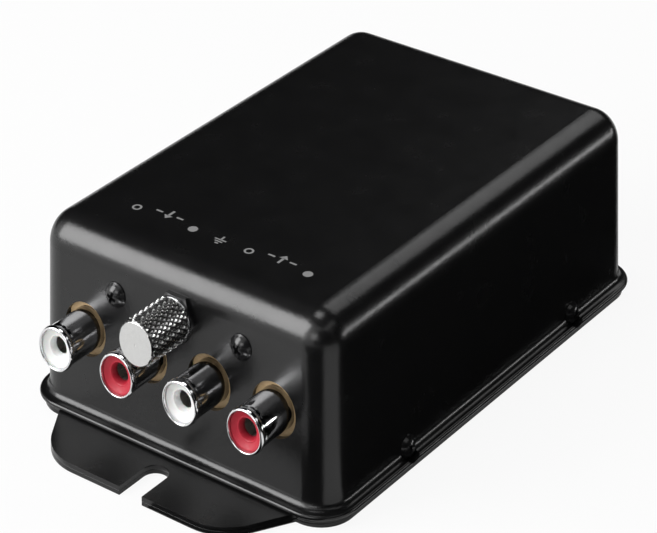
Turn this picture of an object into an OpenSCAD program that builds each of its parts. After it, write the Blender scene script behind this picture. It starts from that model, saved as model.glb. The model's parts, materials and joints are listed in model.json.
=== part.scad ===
// Small stereo phono preamplifier in a deep-drawn steel case.
// Frame: origin under the middle of the case, on the surface it stands on.
// +X runs to the right along the front, the sockets look along -Y, +Z is up.

/* [Case] */
// Width across the side walls
case_w = 69.6; // [67:0.1:90]
// Depth from the front wall to the back wall
case_d = 104; // [100:0.1:130]
// Height from the standing surface to the top
case_h = 36.6; // [36:0.1:54]
// Thickness of the case's steel sheet
sheet = 1.0; // [0.8:0.1:1.3]
// Rounding of the upright corners and of the top edges
edge_r = 6; // [5:0.1:6.1]
// Inner radius of the flare at the foot of the walls
flare_r = 1.4; // [1.2:0.1:2.2]

/* [Base] */
// Thickness of the base plate, which carries the circuit board
base_t = 0.8; // [0.7:0.1:1]
// Thickness of the foot plate under it
foot_t = 0.8; // [0.7:0.1:1]
// How far both plates stand back from the edge of the flare
base_inset = 1.1; // [0.5:0.1:1.4]
// How far each fixing tab reaches out from the wall
tab_reach = 13.5; // [13:0.1:22]
// Width of a fixing tab at the wall
tab_root_w = 57.2; // [54:0.1:60]
// Width of a fixing tab's straight end, measured to its sharp corners
tab_end_w = 41.2; // [36:0.1:48]
// Rounding of a fixing tab's corners
tab_corner_r = 11; // [8:0.1:12]
// Width of the open slot in a fixing tab
slot_w = 5.3; // [4.3:0.1:6.5]
// Depth of the open slot
slot_depth = 9.6; // [8:0.1:11]

/* [Case screws] */
// Distance of the first side screw from the front wall
side_screw_front = 24.5; // [22:0.1:30]
// Distance between the two screws of a side
side_screw_pitch = 57; // [50:0.1:60]
// Height of the side screws above the standing surface
side_screw_z = 4.1; // [4:0.1:4.8]
// Radius of a screw's thread
screw_r = 1.5; // [1.25:0.05:1.5]
// Radius of a side screw's head
side_head_r = 2.1; // [2:0.05:2.3]
// Height of a side screw's head
side_head_h = 1.5; // [1:0.1:1.8]
// Length of a side screw's shank
side_shank = 5; // [4:0.1:6]
// Width of a bent ear that a side screw bites into
ear_w = 9; // [7:0.1:11]
// Height of a bent ear above the base plate
ear_h = 6.4; // [5.6:0.1:6.8]

/* [Sockets] */
// Distance between neighbouring sockets
jack_pitch = 15; // [14.6:0.1:15.4]
// Height of the sockets' axes
jack_z = 17.9; // [17.4:0.1:18.6]
// Reach of a socket in front of the wall
jack_reach = 8.85; // [8:0.05:11]
// Outer radius of a socket's barrel
barrel_r = 3.9; // [3.8:0.05:4]
// Wall of a socket's barrel
barrel_wall = 0.35; // [0.3:0.05:0.4]
// Outer radius of the bead at a socket's mouth
bead_r = 4.15; // [4.1:0.05:4.35]
// Length of that bead
bead_len = 1.4; // [1:0.1:1.8]
// Radius of the hole in the wall round a socket
jack_hole_r = 5; // [4.8:0.05:5.5]
// Thickness of a socket board
jack_board_t = 1.6; // [1.2:0.1:2]
// Radius of the hole that takes a plug's pin
pin_hole_r = 1.6; // [1.55:0.01:1.65]
// Wall of the spring tube inside that hole
tube_wall = 0.3; // [0.2:0.05:0.4]
// Radius of the dished mouth of a socket's insert
dish_r = 3.3; // [3:0.05:3.4]
// Depth of that dish
dish_depth = 0.6; // [0.5:0.1:1.2]
// Radius of the throat at the bottom of the dish
throat_r = 2.0; // [1.85:0.05:2.2]
// Depth of the throat, down to the spring tube
throat_depth = 1.2; // [0.8:0.1:1.6]
// How far the insert stands back from the bead's edge
insert_back = 0.6; // [0.2:0.05:0.8]
// Depth of the socket board screws below the case's top
jack_screw_drop = 9.8; // [9.4:0.1:10.4]
// Radius of a socket board screw's head
front_head_r = 2.4; // [2.2:0.1:2.6]
// Height of a socket board screw's head
front_head_h = 1.5; // [1.2:0.1:1.8]

/* [Ground terminal] */
// Depth of the ground terminal below the case's top
post_drop = 8.9; // [8.8:0.1:9.8]
// Radius of the terminal's thread
post_r = 2.0; // [1.9:0.05:2.2]
// Width across the flats of the terminal's flange
flange_af = 8; // [7.6:0.1:8.2]
// Thickness of the flange
flange_t = 0.9; // [0.7:0.1:1.2]
// Length of thread in front of the flange
post_out = 8.4; // [7:0.1:9.4]
// Outer radius of the loose washer
washer_r = 3.9; // [3.4:0.1:4.2]
// Thickness of the loose washer
washer_t = 0.5; // [0.4:0.1:0.8]
// Radius over the knurl of the thumb nut
thumb_r = 4.3; // [4:0.05:4.6]
// Length of the thumb nut
thumb_len = 10.7; // [10:0.1:12]

/* [Circuit board] */
// Gap between the board and each side wall
board_side_gap = 3.2; // [2.9:0.1:4]
// Gap between the board and the front wall
board_front_gap = 5.4; // [5:0.1:6]
// Thickness of the circuit board
board_t = 1.6; // [1.2:0.1:2]
// Height of the spacers under it
spacer_h = 5; // [4.8:0.1:5.4]
// Radius of a spacer
spacer_r = 2.6; // [2.4:0.1:3]
// Distance of the spacers from the board's side and back edges
spacer_in = 4.5; // [4:0.1:5]
// Gap between the board and the back wall
board_back_gap = 1.8; // [1.5:0.1:2.5]

/* [Power inlet] */
// Distance of the inlet's axis from the right wall
inlet_side = 19.2; // [18:0.1:23]
// Width of the inlet's housing
inlet_w = 9; // [8.6:0.1:10]
// Height of the inlet's housing
inlet_h = 11; // [10.6:0.1:12]
// Length of the inlet's housing
inlet_len = 14; // [13:0.1:15]
// Radius of the inlet's bore
inlet_bore_r = 3.15; // [3:0.05:3.3]
// Depth of the inlet's bore
inlet_bore_depth = 9.5; // [9:0.1:10]
// Radius of the inlet's centre pin
inlet_pin_r = 1.05; // [0.8:0.05:1.25]
// Radius of the hole in the back wall
inlet_hole_r = 4.1; // [3.8:0.1:4.4]

/* [Hidden] */
$fn = 64;

fit = 0.05;         // radial clearance of a thread or shank in its hole
hole_clear = 0.15;  // radial clearance of a screw that passes a plain hole
seat = 0.02;        // play of a pressed piece
cut = 1;            // how far a cutting body runs past a face

// Levels
base_top = foot_t + base_t;
flare_top = base_top + sheet + flare_r;
lip_out = flare_r + sheet / 2;
board_z = base_top + spacer_h;
board_top = board_z + board_t;

// Faces of the walls
front_y = -case_d / 2;
front_in = front_y + sheet;
back_y = case_d / 2;
back_in = back_y - sheet;
side_x = case_w / 2;
side_in = side_x - sheet;

// Places of the screws in the side walls
side_screw_ys = [for (i = [0, 1]) front_y + side_screw_front + i * side_screw_pitch];
ear_t = base_t;
ear_out = side_in - fit;
ear_bend_r = 0.6;
spot_clear = 0.25;

// Places of the sockets, left to right
jack_x = [for (i = [0:3]) (i - 1.5) * jack_pitch];
pair_x = [-jack_pitch, jack_pitch];
shell_front = front_y - jack_reach;
board_back = front_in + jack_board_t;
barrel_in = barrel_r - barrel_wall;
insert_r = barrel_in - seat;
insert_front = shell_front + insert_back;
boss_r = 2.3;
tube_r = pin_hole_r + tube_wall;
tube_front = insert_front + dish_depth + throat_depth;
tube_slit = 0.4;
tube_bottom = 0.5;
tail_w = 1.5;
tail_t = 0.5;
tail_hole_r = norm([tail_w, tail_t]) / 2 + seat;
tail_out = 4.8;
tail_back = board_back + tail_out;
prong_angle = 34;
prong_out = 0.9;
prong_back = board_back + prong_out;
prong_play = 3;
ring_in = barrel_r + fit;
ring_out = 5.2;
ring_t = 0.4;
ring_tab_w = 2.4;
ring_tab_drop = 8;
jack_screw_z = case_h - jack_screw_drop;
jack_board_drop = 6.6;
jack_board_rise = 5.9;
jack_board_side = 4.5;
tongue_w = 8;
tongue_rise = 3.4;
front_shank = 6.2;
recess_turn = 20;
nut_t = 2.4;
nut_af = 5.5;

// Ground terminal, from the front to the back
post_z = case_h - post_drop;
flange_front = front_y - flange_t;
washer_front = flange_front - washer_t;
post_front = flange_front - post_out;
thumb_bore_play = 0.5;
thumb_bore_end = post_front - thumb_bore_play;
thumb_chamfer = 0.5;
thumb_neck_step = 0.5;
thumb_neck_r = thumb_r - thumb_neck_step;
thumb_neck_len = 0.7;
lug_t = 0.5;
lug_r = 2.8;
lug_tail_w = 2.4;
lug_tail_drop = 8.6;
lock_t = 0.8;
lock_r = 3.5;
lock_slit = 0.7;
post_nut_af = 7;
post_nut_t = 3.2;
lock_front = front_in + lug_t;
post_nut_front = lock_front + lock_t;
post_end = 1.2;
post_back = post_nut_front + post_nut_t + post_end;

// Wires
wire_r = 0.65;
wire_clear = 0.95;
wire_bend = 3;
return_bend = 1.6;
wire_landing = 5.5;
return_landing = 2.6;
chassis_landing = 8.5;

// Circuit board and what stands on it
board_w = 2 * (side_in - board_side_gap);
board_y0 = front_in + board_front_gap;
board_y1 = back_in - board_back_gap;
board_d = board_y1 - board_y0;
board_head_r = 2.6;
spacer_x = board_w / 2 - spacer_in;
spacer_front = tail_back + wire_landing + wire_r + board_head_r + wire_clear;
spacer_spots = [for (x = [-spacer_x, spacer_x], y = [spacer_front, board_y1 - spacer_in]) [x, y]];
board_head_h = 1.8;
board_shank_short = 0.3;
board_shank = board_t + spacer_h - board_shank_short;
lead_r = 0.3;
lead_play = 0.12;
lead_under = 1.2;
stand_off = 0.4;
small_can_side = 4;
film_side = 9.5;
big_can_side = 17;
diode_side = 6;
small_can_row = 18.5;
chip_row = 32.5;
resistor_row = 40.5;
film_row = 47.5;
big_can_row = 21;
supply_row = 30.5;
chip_w = 6.4;
chip_len = 9.6;
chip_h = 3.3;
chip_pitch = 2.54;
chip_rows = 7.62;
chip_rise = 0.6;
chip_leg_w = 0.5;
chip_notch_r = 0.8;
film_w = 2.6;
film_len = 7.2;
film_h = 6.5;
film_pitch = 5;
small_can_r = 2.5;
small_can_h = 7;
small_can_pitch = 2;
big_can_r = 5;
big_can_h = 16;
big_can_pitch = 5;
can_bead_r = 0.25;
resistor_r = 1.15;
resistor_len = 6.2;
resistor_span = 10;
resistor_rise = 1.5;
diode_r = 1.35;
diode_len = 5;
diode_span = 10;
diode_rise = 1.7;
reg_w = 10;
reg_body_t = 3.2;
reg_body_h = 9;
reg_tab_t = 1.3;
reg_tab_h = 15.6;
reg_rise = 3.5;
reg_hole_r = 1.8;

// Spots on the board: columns from its middle or from its side edges
chip_x = 14;
small_can_in = 4;
small_can_mid = 14;
small_can_far = board_w / 2 - small_can_side;
film_x = board_w / 2 - film_side;
film_gap = 7;
big_can_x = board_w / 2 - big_can_side;
big_can_gap = 14;
resistor_gap = 4;
diode_x = board_w / 2 - diode_side;
reg_x = 8;

// Rows from the board's front edge, and the supply's rows from its back edge
small_can_y = board_y0 + small_can_row;
chip_y = board_y0 + chip_row;
film_y = board_y0 + film_row;
film_row_gap = 10;
resistor_y = board_y0 + resistor_row;
resistor_row_gap = 16;
supply_y = board_y1 - supply_row;
big_can_y = board_y1 - big_can_row;
chip_in = [chip_x, chip_y];
chip_out = [-chip_x, chip_y];
film_spots = [for (side = [-1, 1], x = [-0.5, 0.5], y = [-0.5, 0.5])
    [side * film_x + x * film_gap, film_y + y * film_row_gap]];
small_can_spots = [for (side = [-1, 1], x = [small_can_in, small_can_mid, small_can_far])
    [side * x, small_can_y]];
big_can_spots = [for (x = [-0.5, 0.5]) [x * big_can_gap - big_can_x, big_can_y]];
resistor_spots = [for (k = [-2:2], y = [-0.5, 0.5])
    [k * resistor_gap, resistor_y + y * resistor_row_gap]];
diode_spot = [diode_x, supply_y];
reg_spot = [reg_x, supply_y];

// Power inlet
inlet_x = side_x - inlet_side;
inlet_wall_gap = 0.2;
inlet_back = back_in - inlet_wall_gap;
inlet_front = inlet_back - inlet_len;
inlet_axis_z = board_top + inlet_h - inlet_w / 2;
inlet_collar_r = inlet_hole_r - hole_clear;
inlet_pin_gap = 0.6;
inlet_blade_w = 2.2;
inlet_blade_t = 0.6;
inlet_spring_w = 2;
inlet_spring_len = 6;
inlet_spring_in = 4.6;
inlet_spring_y = inlet_front + inlet_spring_in;
inlet_blade_ys = [inlet_front - inlet_blade_t / 2, inlet_spring_y];
inlet_leaf_top = inlet_axis_z - inlet_bore_r;

steel_black = [0.09, 0.09, 0.095];
chrome_c = [0.82, 0.83, 0.85];
tin_c = [0.75, 0.75, 0.73];
paper_board = [0.76, 0.6, 0.38];
red_c = [0.78, 0.12, 0.2];
white_c = [0.93, 0.93, 0.91];
board_green = [0.1, 0.34, 0.2];
moulded_black = [0.12, 0.12, 0.13];
film_red = [0.72, 0.13, 0.1];
can_blue = [0.1, 0.14, 0.3];
can_black = [0.1, 0.1, 0.12];
resistor_blue = [0.35, 0.55, 0.72];
wire_yellow = [0.85, 0.8, 0.2];
wire_white = [0.9, 0.9, 0.88];
wire_black = [0.15, 0.15, 0.16];
wire_green = [0.2, 0.5, 0.25];

// ---- shared shapes

// Ring-shaped body: the profile's x runs outward from the corner axis, its y is height.
module sweep_round_rect(w, d, r) {
    for (k = [0:3]) {
        along = k % 2 == 0 ? d : w;
        across = k % 2 == 0 ? w : d;
        rotate([0, 0, 90 * k]) {
            translate([across / 2 - r, 0, 0])
                rotate([90, 0, 0]) linear_extrude(along - 2 * r, center = true) children();
            translate([across / 2 - r, along / 2 - r, 0])
                rotate_extrude(angle = 90) children();
        }
    }
}

module quarter_ring(outer, inner, quadrant) {
    intersection() {
        difference() {
            circle(outer);
            circle(inner);
        }
        rotate(90 * quadrant) square(outer + cut);
    }
}

module round_rect(w, d, r) {
    square([w - 2 * r, d], center = true);
    square([w, d - 2 * r], center = true);
    for (x = [-1, 1], y = [-1, 1]) translate([x * (w / 2 - r), y * (d / 2 - r)]) circle(r);
}

// Points +Z at the front, so that a length grows out of the socket wall.
module face_front(x, y, z) {
    translate([x, y, z]) rotate([90, 0, 0]) children();
}

module tube(r, hole, len) {
    difference() {
        cylinder(r = r, h = len);
        translate([0, 0, -cut]) cylinder(r = hole, h = len + 2 * cut);
    }
}

module hex_plate(af, t) {
    rotate(30) cylinder(r = af / sqrt(3), h = t, $fn = 6);
}

// Pan head with a crossed recess; the seat is at z = 0 and the shank runs down.
module pan_screw(head_r, head_h, shank_r, shank_len) {
    dome_r = (head_r * head_r + head_h * head_h) / (2 * head_h);
    recess_w = head_r * 1.15;
    recess_t = head_r * 0.26;
    recess_depth = head_h * 0.6;
    difference() {
        rotate_extrude() intersection() {
            translate([0, head_h - dome_r]) circle(dome_r);
            square([head_r, head_h]);
        }
        for (a = [0, 90]) rotate(a)
            translate([-recess_w / 2, -recess_t / 2, head_h - recess_depth])
                cube([recess_w, recess_t, head_h]);
    }
    translate([0, 0, -shank_len]) cylinder(r = shank_r, h = shank_len);
}

// ---- case and base

module wall_profile() {
    translate([0, case_h - edge_r]) quarter_ring(edge_r, edge_r - sheet, 0);
    translate([edge_r - sheet, flare_top]) square([sheet, case_h - edge_r - flare_top]);
    translate([edge_r + flare_r, flare_top]) quarter_ring(flare_r + sheet, flare_r, 2);
    translate([edge_r + flare_r, base_top + sheet / 2])
        intersection() {
            circle(sheet / 2);
            translate([0, -sheet]) square([sheet, 2 * sheet]);
        }
}

module side_screw_spots() {
    for (s = [0, 1], y = side_screw_ys)
        rotate([0, 0, 180 * s]) translate([side_x, s == 0 ? y : -y, side_screw_z])
            rotate([0, 90, 0]) children();
}

module case() {
    spot_r = side_head_r + spot_clear;
    patch_w = 2 * spot_r + sheet;
    color(steel_black) difference() {
        union() {
            sweep_round_rect(case_w, case_d, edge_r) wall_profile();
            translate([-(side_x - edge_r), -(back_y - edge_r), case_h - sheet])
                cube([case_w - 2 * edge_r, case_d - 2 * edge_r, sheet]);
            for (s = [-1, 1], y = side_screw_ys)
                translate([s * (side_x - sheet / 2) - sheet / 2, y - patch_w / 2, base_top])
                    cube([sheet, patch_w, flare_top - base_top]);
        }
        side_screw_spots() {
            cylinder(r = spot_r, h = lip_out + cut);
            translate([0, 0, -sheet - cut]) cylinder(r = screw_r + hole_clear, h = sheet + 2 * cut);
        }
        for (x = jack_x) face_front(x, front_in + cut, jack_z)
            cylinder(r = jack_hole_r, h = sheet + 2 * cut);
        for (x = pair_x) face_front(x, front_in + cut, jack_screw_z)
            cylinder(r = screw_r + hole_clear, h = sheet + 2 * cut);
        face_front(0, front_in + cut, post_z) cylinder(r = post_r + hole_clear, h = sheet + 2 * cut);
        face_front(inlet_x, back_y + cut, inlet_axis_z)
            cylinder(r = inlet_hole_r, h = sheet + 2 * cut);
    }
}

// One fixing tab; y = 0 is the wall and the tab points along -Y.
module tab_outline() {
    side_len = norm([tab_root_w / 2 - tab_end_w / 2, tab_reach]);
    nx = tab_reach / side_len;
    ny = (tab_root_w - tab_end_w) / 2 / side_len;
    cx = tab_end_w / 2 - tab_corner_r * (1 - ny) / nx;
    cy = tab_reach - tab_corner_r;
    polygon([[-tab_root_w / 2, 0], [tab_root_w / 2, 0],
        [cx + tab_corner_r * nx, -cy - tab_corner_r * ny], [cx, -tab_reach],
        [-cx, -tab_reach], [-cx - tab_corner_r * nx, -cy - tab_corner_r * ny]]);
    for (s = [-1, 1]) translate([s * cx, -cy]) circle(tab_corner_r);
}

module slot_outline() {
    translate([0, -tab_reach + slot_depth - slot_w / 2]) circle(slot_w / 2);
    translate([-slot_w / 2, -tab_reach - cut]) square([slot_w, slot_depth - slot_w / 2 + cut]);
}

// Sheet with both tabs and slots, lying on z = 0
module plate(t) {
    out = lip_out - base_inset;
    difference() {
        union() {
            linear_extrude(t) round_rect(case_w + 2 * out, case_d + 2 * out, edge_r + out);
            for (a = [0, 180]) rotate(a) translate([0, front_y, 0]) linear_extrude(t) tab_outline();
        }
        for (a = [0, 180]) rotate(a) translate([0, front_y, -cut])
            linear_extrude(t + 2 * cut) slot_outline();
    }
}

module ear(y) {
    bend_out = ear_bend_r + ear_t;
    translate([ear_out - ear_t, y - ear_w / 2, base_top + ear_bend_r])
        cube([ear_t, ear_w, ear_h - ear_bend_r]);
    translate([ear_out - bend_out, y + ear_w / 2, base_top + ear_bend_r])
        rotate([90, 0, 0]) linear_extrude(ear_w) quarter_ring(bend_out, ear_bend_r, 3);
}

module base_plate() {
    window = ear_h + ear_bend_r;
    color(steel_black) difference() {
        union() {
            translate([0, 0, foot_t]) difference() {
                plate(base_t);
                for (s = [-1, 1], y = side_screw_ys)
                    translate([s * (ear_out - ear_t - ear_bend_r - window / 2), y, 0])
                        cube([window, ear_w, 4 * base_t], center = true);
            }
            for (y = side_screw_ys) {
                ear(y);
                mirror([1, 0, 0]) ear(y);
            }
        }
        side_screw_spots()
            translate([0, 0, -sheet - ear_t - cut])
                cylinder(r = screw_r + fit, h = ear_t + sheet + cut);
    }
}

module foot_plate() {
    color(steel_black) plate(foot_t);
}

module case_screws() {
    color(steel_black) side_screw_spots() pan_screw(side_head_r, side_head_h, screw_r, side_shank);
}

// ---- sockets

module board_screws_front() {
    color(steel_black) for (x = pair_x) face_front(x, front_y, jack_screw_z)
        rotate(recess_turn) pan_screw(front_head_r, front_head_h, screw_r, front_shank);
}

module board_nuts_front() {
    color(tin_c) for (x = pair_x) face_front(x, board_back + nut_t, jack_screw_z)
        difference() {
            hex_plate(nut_af, nut_t);
            translate([0, 0, -cut]) cylinder(r = screw_r + fit, h = nut_t + 2 * cut);
        }
}

// Sectors round a socket's axis; turn shifts them from one prong to the gap after it.
module sectors(angle, turn) {
    reach = 2 * barrel_r;
    for (k = [0:2]) rotate(90 + 120 * k + turn - angle / 2)
        polygon([[0, 0], [reach, 0], reach * [cos(angle / 2), sin(angle / 2)],
            reach * [cos(angle), sin(angle)]]);
}

module socket_board(pair) {
    w = jack_pitch + 2 * jack_board_side;
    color(paper_board) difference() {
        union() {
            translate([pair_x[pair] - w / 2, front_in, jack_z - jack_board_drop])
                cube([w, jack_board_t, jack_board_drop + jack_board_rise]);
            translate([pair_x[pair] - tongue_w / 2, front_in, jack_z])
                cube([tongue_w, jack_board_t, jack_screw_z - jack_z + tongue_rise]);
        }
        for (i = [2 * pair, 2 * pair + 1]) face_front(jack_x[i], board_back + cut, jack_z) {
            cylinder(r = boss_r + seat, h = jack_board_t + 2 * cut);
            intersection() {
                tube(barrel_r + fit, barrel_in - fit, jack_board_t + 2 * cut);
                linear_extrude(jack_board_t + 2 * cut) sectors(prong_angle + 2 * prong_play, 0);
            }
        }
        face_front(pair_x[pair], board_back + cut, jack_screw_z)
            cylinder(r = screw_r + hole_clear, h = jack_board_t + 2 * cut);
    }
}

module shell(i) {
    bead_round = bead_r - barrel_r;
    len = prong_back - shell_front;
    prong_len = prong_back - front_in;
    color(chrome_c) face_front(jack_x[i], prong_back, jack_z) difference() {
        rotate_extrude() difference() {
            union() {
                square([barrel_r, len]);
                translate([0, len - bead_len]) square([bead_r, bead_len - bead_round]);
                intersection() {
                    translate([barrel_r, len - bead_round]) circle(bead_round);
                    translate([0, len - bead_len]) square([bead_r, bead_len]);
                }
            }
            translate([0, -cut]) square([barrel_in, len + 2 * cut]);
        }
        translate([0, 0, -cut]) linear_extrude(prong_len + cut) sectors(120 - prong_angle, 60);
    }
}

module insert(i, tint) {
    len = front_in - insert_front;
    tube_len = front_in - tube_front;
    color(tint) face_front(jack_x[i], front_in, jack_z) rotate_extrude() difference() {
        union() {
            square([insert_r, len]);
            translate([0, -jack_board_t]) square([boss_r, jack_board_t]);
        }
        polygon([[0, tube_len], [pin_hole_r, tube_len], [throat_r, len - dish_depth],
            [dish_r, len], [dish_r, len + cut], [0, len + cut]]);
        square([tube_r + seat, tube_len]);
        translate([0, -jack_board_t - cut]) square([tail_hole_r, jack_board_t + 2 * cut]);
    }
}

module contact(i) {
    depth = front_in - tube_front;
    color(tin_c) {
        face_front(jack_x[i], front_in, jack_z) {
            difference() {
                cylinder(r = tube_r, h = depth);
                translate([0, 0, tube_bottom]) cylinder(r = pin_hole_r, h = depth);
                translate([-tube_slit / 2, 0, tube_bottom]) cube([tube_slit, tube_r + cut, depth]);
            }
            translate([-tail_w / 2, -tail_t / 2, front_in - tail_back])
                cube([tail_w, tail_t, tail_back - front_in]);
        }
    }
}

module ring(i) {
    color(tin_c) face_front(jack_x[i], board_back + ring_t, jack_z) {
        tube(ring_out, ring_in, ring_t);
        difference() {
            translate([-ring_tab_w / 2, -ring_tab_drop, 0])
                cube([ring_tab_w, ring_tab_drop, ring_t]);
            translate([0, 0, -cut]) cylinder(r = (ring_in + ring_out) / 2, h = ring_t + 2 * cut);
        }
    }
}

// ---- ground terminal

module ground_post() {
    color(chrome_c) {
        face_front(0, front_y, post_z) hex_plate(flange_af, flange_t);
        face_front(0, post_back, post_z) cylinder(r = post_r, h = post_back - post_front);
    }
}

module ground_lug() {
    color(tin_c) face_front(0, lock_front, post_z) {
        tube(lug_r, post_r + fit, lug_t);
        difference() {
            translate([-lug_tail_w / 2, -lug_tail_drop, 0]) cube([lug_tail_w, lug_tail_drop, lug_t]);
            translate([0, 0, -cut]) cylinder(r = (lug_r + post_r) / 2, h = lug_t + 2 * cut);
        }
    }
}

module lock_washer() {
    color(tin_c) face_front(0, post_nut_front, post_z) difference() {
        tube(lock_r, post_r + fit, lock_t);
        translate([0, -lock_slit / 2, -cut]) cube([lock_r + cut, lock_slit, lock_t + 2 * cut]);
    }
}

module post_nut() {
    color(chrome_c) face_front(0, post_nut_front + post_nut_t, post_z) difference() {
        hex_plate(post_nut_af, post_nut_t);
        translate([0, 0, -cut]) cylinder(r = post_r + fit, h = post_nut_t + 2 * cut);
    }
}

module terminal_washer() {
    color(chrome_c) face_front(0, flange_front, post_z) tube(washer_r, post_r + fit, washer_t);
}

module thumb_nut() {
    bore = washer_front - thumb_bore_end;
    color(chrome_c) face_front(0, washer_front, post_z) rotate_extrude() difference() {
        union() {
            square([thumb_neck_r, thumb_len]);
            translate([0, thumb_neck_len])
                square([thumb_r, thumb_len - thumb_neck_len - thumb_chamfer]);
            polygon([[0, 0], [thumb_r, thumb_len - thumb_chamfer],
                [thumb_r - thumb_chamfer, thumb_len], [0, thumb_len]]);
        }
        translate([0, -cut]) square([post_r + fit, bore + cut]);
    }
}

// ---- circuit board

function pair_spots(spots, span, turn) =
    [for (p = spots, s = [-0.5, 0.5]) p + s * span * [cos(turn), sin(turn)]];
function chip_legs(spot) =
    [for (k = [0:3], s = [-0.5, 0.5]) spot + [s * chip_rows, (k - 1.5) * chip_pitch]];
function reg_legs() = [for (k = [-1:1]) reg_spot + [k * chip_pitch, 0]];

film_leads = pair_spots(film_spots, film_pitch, 90);
small_can_leads = pair_spots(small_can_spots, small_can_pitch, 0);
big_can_leads = pair_spots(big_can_spots, big_can_pitch, 0);
resistor_leads = pair_spots(resistor_spots, resistor_span, 90);
diode_leads = pair_spots([diode_spot], diode_span, 90);
all_leads = concat(chip_legs(chip_in), chip_legs(chip_out), film_leads, small_can_leads,
    big_can_leads, resistor_leads, diode_leads, reg_legs());

module circuit_board() {
    color(board_green) difference() {
        translate([-board_w / 2, board_y0, board_z]) cube([board_w, board_d, board_t]);
        for (p = all_leads) translate([p[0], p[1], board_z - cut])
            cylinder(r = lead_r + lead_play, h = board_t + 2 * cut, $fn = 16);
        for (p = spacer_spots) translate([p[0], p[1], board_z - cut])
            cylinder(r = screw_r + hole_clear, h = board_t + 2 * cut);
        for (y = inlet_blade_ys) translate([inlet_x, y, board_z])
            cube([inlet_blade_w + 2 * hole_clear, inlet_blade_t + 2 * hole_clear, 4 * board_t],
                center = true);
    }
}

module board_spacers() {
    color(tin_c) for (p = spacer_spots) translate([p[0], p[1], base_top])
        tube(spacer_r, screw_r + fit, spacer_h);
}

module board_screws() {
    color(tin_c) for (p = spacer_spots) translate([p[0], p[1], board_top])
        pan_screw(board_head_r, board_head_h, screw_r, board_shank);
}

module leads(spots, top) {
    for (p = spots) translate([p[0], p[1], board_z - lead_under])
        cylinder(r = lead_r, h = top - board_z + lead_under, $fn = 16);
}

module chip(spot) {
    color(moulded_black) difference() {
        translate([spot[0] - chip_w / 2, spot[1] - chip_len / 2, board_top + chip_rise])
            cube([chip_w, chip_len, chip_h]);
        translate([spot[0], spot[1] - chip_len / 2, board_top + chip_rise + chip_h - chip_leg_w])
            cylinder(r = chip_notch_r, h = chip_h);
    }
    shoulder_z = board_top + chip_rise + chip_h / 2 - chip_leg_w / 2;
    color(tin_c) for (s = [-1, 1], k = [0:3]) {
        y = spot[1] + (k - 1.5) * chip_pitch;
        reach = chip_rows / 2 + chip_leg_w / 2 - chip_w / 2;
        x0 = s > 0 ? chip_w / 2 : -chip_w / 2 - reach;
        translate([spot[0] + x0, y - chip_leg_w / 2, shoulder_z]) cube([reach, chip_leg_w, chip_leg_w]);
        translate([spot[0] + s * chip_rows / 2, y, board_z - lead_under])
            cylinder(r = lead_r, h = shoulder_z - board_z + lead_under + chip_leg_w / 2, $fn = 16);
    }
}

module input_chip() {
    chip(chip_in);
}

module output_chip() {
    chip(chip_out);
}

module film_capacitors() {
    color(film_red) for (p = film_spots)
        translate([p[0] - film_w / 2, p[1] - film_len / 2, board_top + stand_off])
            cube([film_w, film_len, film_h]);
    color(tin_c) leads(film_leads, board_top + stand_off);
}

// Round can with a rolled groove near its foot
module can(r, h) {
    difference() {
        cylinder(r = r, h = h);
        translate([0, 0, r / 2]) rotate_extrude() translate([r, 0]) circle(can_bead_r, $fn = 24);
    }
}

module coupling_capacitors() {
    color(can_blue) for (p = small_can_spots)
        translate([p[0], p[1], board_top + stand_off]) can(small_can_r, small_can_h);
    color(tin_c) leads(small_can_leads, board_top + stand_off);
}

module supply_capacitors() {
    color(can_black) for (p = big_can_spots)
        translate([p[0], p[1], board_top + stand_off]) can(big_can_r, big_can_h);
    color(tin_c) leads(big_can_leads, board_top + stand_off);
}

// Body lying along Y between two leads
module axial_part(spot, r, len, span, rise, tint) {
    z = board_top + rise;
    color(tint) translate([spot[0], spot[1] + len / 2, z]) rotate([90, 0, 0]) cylinder(r = r, h = len);
    color(tin_c) for (s = [-1, 1]) {
        inner = len / 2;
        outer = span / 2 + lead_r;
        y0 = s > 0 ? inner : -outer;
        translate([spot[0], spot[1] + y0 + outer - inner, z]) rotate([90, 0, 0])
            cylinder(r = lead_r, h = outer - inner, $fn = 16);
    }
}

module resistors() {
    for (p = resistor_spots)
        axial_part(p, resistor_r, resistor_len, resistor_span, resistor_rise, resistor_blue);
    color(tin_c) leads(resistor_leads, board_top + resistor_rise);
}

module rectifier_diode() {
    axial_part(diode_spot, diode_r, diode_len, diode_span, diode_rise, moulded_black);
    color(tin_c) leads(diode_leads, board_top + diode_rise);
}

module voltage_regulator() {
    x = reg_spot[0] - reg_w / 2;
    y = reg_spot[1] - reg_body_t / 2;
    z = board_top + reg_rise;
    color(moulded_black) translate([x, y, z]) cube([reg_w, reg_body_t, reg_body_h]);
    color(tin_c) {
        difference() {
            translate([x, y + reg_body_t, z]) cube([reg_w, reg_tab_t, reg_tab_h]);
            translate([reg_spot[0], y + reg_body_t + reg_tab_t + cut, z + (reg_body_h + reg_tab_h) / 2])
                rotate([90, 0, 0]) cylinder(r = reg_hole_r, h = reg_tab_t + 2 * cut);
        }
        leads(reg_legs(), z);
    }
}

// ---- power inlet

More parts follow.
